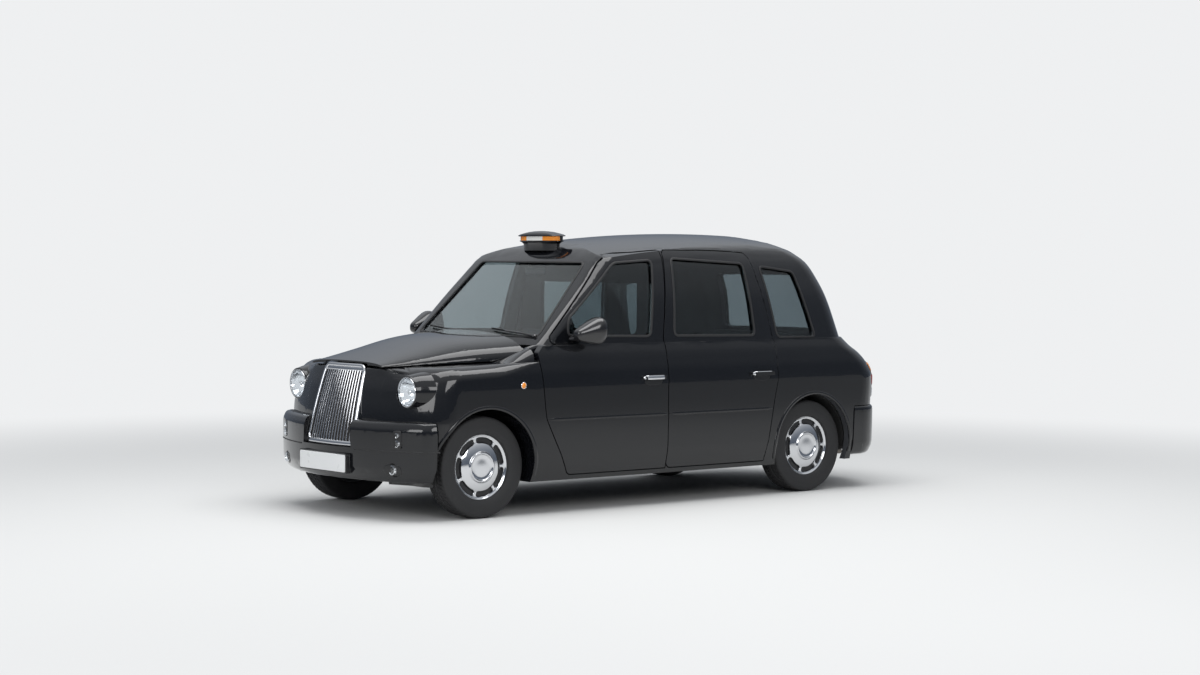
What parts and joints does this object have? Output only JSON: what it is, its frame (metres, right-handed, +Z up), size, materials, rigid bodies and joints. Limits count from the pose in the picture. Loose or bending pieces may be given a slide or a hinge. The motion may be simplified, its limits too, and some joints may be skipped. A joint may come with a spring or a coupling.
{
  "type": "taxi cab",
  "caption": "Black taxi cab with tall cabin, opening doors, bonnet and boot lid, steered front wheels, chrome grille and roof sign.",
  "frame": {"origin": "on the ground midway along, across and under the car", "axes": "+X to the front of the car, +Y to its left (near) side, +Z up"},
  "size_m": [4.58, 2.036, 1.834],
  "materials": {
    "black_paint": "deep gloss black body paint",
    "window_glass": "lightly tinted glazing",
    "chrome_trim": "bright chrome",
    "clear_lens": "clear lamp lens",
    "amber_lens": "clear and amber lamp lens",
    "wheel_cover": "polished wheel cover",
    "tyre_rubber": "black rubber",
    "underseal": "black underbody sealer",
    "cast_metal": "plain cast block",
    "exhaust_steel": "dull heat-stained steel",
    "black_plastic": "satin black moulding",
    "seat_fabric": "dark hard-wearing cloth",
    "plate_white": "blank white plate"
  },
  "bodies": {
    "body": {"body_sides": "black_paint", "bumpers": "black_paint", "dashboard": "black_plastic", "engine": "cast_metal", "exhaust": "exhaust_steel", "fixed_glass": "window_glass", "front_suspension": "underseal", "front_wings": "black_paint", "fuel_tank": "black_plastic", "grille": "chrome_trim", "headlamps": "clear_lens", "nose_panel": "black_paint", "number_plate": "plate_white", "partition": "black_plastic", "rear_axle": "underseal", "rear_panel": "black_paint", "roof": "black_paint", "roof_sign": "black_plastic", "scuttle": "black_paint", "seats": "seat_fabric", "small_lamps": "amber_lens", "underbody": "underseal", "wipers": "black_plastic"},
    "door_front_left_body": {"door_front_left": "black_paint", "door_glass_front_left": "window_glass", "mirror_left": "black_plastic"},
    "door_front_right_body": {"door_front_right": "black_paint", "door_glass_front_right": "window_glass", "mirror_right": "black_plastic"},
    "door_rear_left_body": {"door_rear_left": "black_paint", "door_glass_rear_left": "window_glass"},
    "door_rear_right_body": {"door_rear_right": "black_paint", "door_glass_rear_right": "window_glass"},
    "bonnet_body": {"bonnet": "black_paint"},
    "boot_lid_body": {"boot_lid": "black_paint"},
    "knuckle_left_body": {"knuckle_left": "underseal"},
    "knuckle_right_body": {"knuckle_right": "underseal"},
    "wheel_front_left_body": {"wheel_front_left": "wheel_cover", "tyre_front_left": "tyre_rubber"},
    "wheel_front_right_body": {"wheel_front_right": "wheel_cover", "tyre_front_right": "tyre_rubber"},
    "wheel_rear_left_body": {"wheel_rear_left": "wheel_cover", "tyre_rear_left": "tyre_rubber"},
    "wheel_rear_right_body": {"wheel_rear_right": "wheel_cover", "tyre_rear_right": "tyre_rubber"},
    "steering_wheel_body": {"steering_wheel": "black_plastic"}
  },
  "joints": [
    {"name": "door_front_left_hinge", "type": "hinge", "parent": "body", "child": "door_front_left_body", "pos_m": [1.212, 0.89, 0.8], "axis": [0, 0, -1], "range_deg": [0, 68]},
    {"name": "door_front_right_hinge", "type": "hinge", "parent": "body", "child": "door_front_right_body", "pos_m": [1.212, -0.89, 0.8], "axis": [0, 0, 1], "range_deg": [0, 68]},
    {"name": "door_rear_left_hinge", "type": "hinge", "parent": "body", "child": "door_rear_left_body", "pos_m": [0.1145, 0.89, 0.8], "axis": [0, 0, -1], "range_deg": [0, 72]},
    {"name": "door_rear_right_hinge", "type": "hinge", "parent": "body", "child": "door_rear_right_body", "pos_m": [0.1145, -0.89, 0.8], "axis": [0, 0, 1], "range_deg": [0, 72]},
    {"name": "bonnet_hinge", "type": "hinge", "parent": "body", "child": "bonnet_body", "pos_m": [1.17, 0, 1.172], "axis": [0, -1, 0], "range_deg": [0, 50]},
    {"name": "boot_lid_hinge", "type": "hinge", "parent": "body", "child": "boot_lid_body", "pos_m": [-1.975, 0, 1.082], "axis": [0, 1, 0], "range_deg": [0, 72]},
    {"name": "steer_left", "type": "hinge", "parent": "body", "child": "knuckle_left_body", "pos_m": [1.61, 0.618, 0.325], "axis": [0, 0, 1], "range_deg": [-42, 42]},
    {"name": "steer_right", "type": "hinge", "parent": "body", "child": "knuckle_right_body", "pos_m": [1.61, -0.618, 0.325], "axis": [0, 0, 1], "range_deg": [-42, 42]},
    {"name": "steering_wheel_turn", "type": "hinge", "parent": "body", "child": "steering_wheel_body", "pos_m": [0.8, -0.39, 0.96], "axis": [-0.9006, 0, 0.4347], "range_deg": [-440, 440]},
    {"name": "spin_front_left", "type": "hinge", "parent": "knuckle_left_body", "child": "wheel_front_left_body", "pos_m": [1.61, 0.72, 0.325], "axis": [0, 1, 0], "continuous": true},
    {"name": "spin_front_right", "type": "hinge", "parent": "knuckle_right_body", "child": "wheel_front_right_body", "pos_m": [1.61, -0.72, 0.325], "axis": [0, 1, 0], "continuous": true},
    {"name": "spin_rear_left", "type": "hinge", "parent": "body", "child": "wheel_rear_left_body", "pos_m": [-1.276, 0.72, 0.325], "axis": [0, 1, 0], "continuous": true},
    {"name": "spin_rear_right", "type": "hinge", "parent": "body", "child": "wheel_rear_right_body", "pos_m": [-1.276, -0.72, 0.325], "axis": [0, 1, 0], "continuous": true}
  ],
  "couplings": [
    {"joint": "steer_right", "follows": "steer_left", "ratio": 1},
    {"joint": "steering_wheel_turn", "follows": "steer_left", "ratio": 10}
  ]
}
